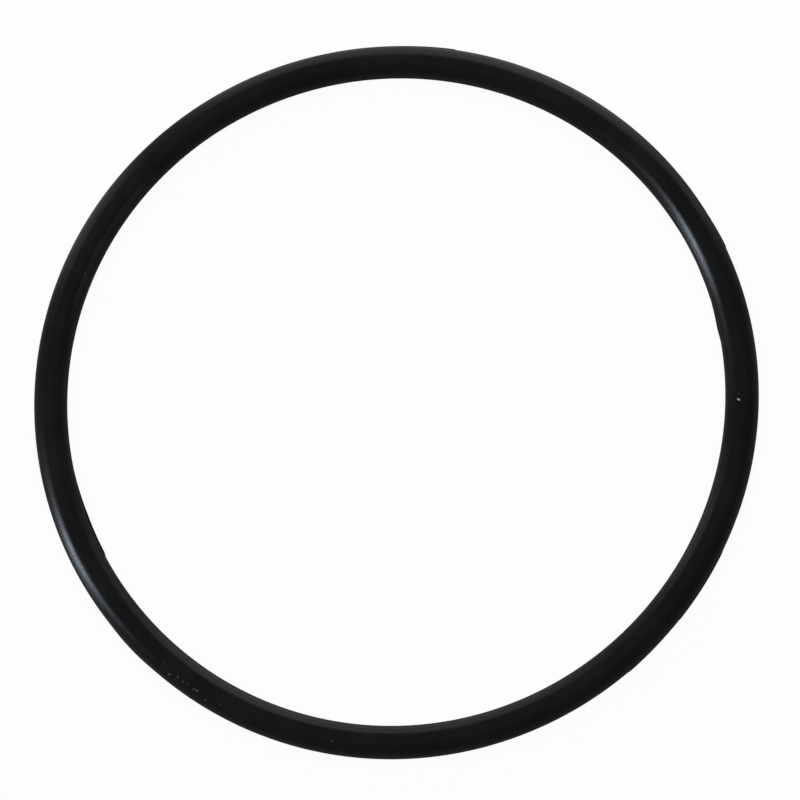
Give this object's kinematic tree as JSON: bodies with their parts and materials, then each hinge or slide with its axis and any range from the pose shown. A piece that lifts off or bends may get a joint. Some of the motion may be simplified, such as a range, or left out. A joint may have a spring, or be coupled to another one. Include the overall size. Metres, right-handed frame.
{
  "type": "water pump o-ring gasket",
  "caption": "Rubber O-ring gasket that seals a car's water pump to its housing: a plain round ring of round section, with a fine trimmed parting line in the bore and around the outside.",
  "frame": {"origin": "centre of the ring, halfway up its section, on the plane where the two mould halves met", "axes": "+Z along the ring's axis, which is the axis of the pump it seals; X and Y lie in the ring's plane, and the ring is the same whichever way they point"},
  "size_m": [0.077, 0.077, 0.0034],
  "materials": {
    "black_rubber": "satin"
  },
  "bodies": {
    "root": {"o_ring": "black_rubber"}
  },
  "joints": []
}
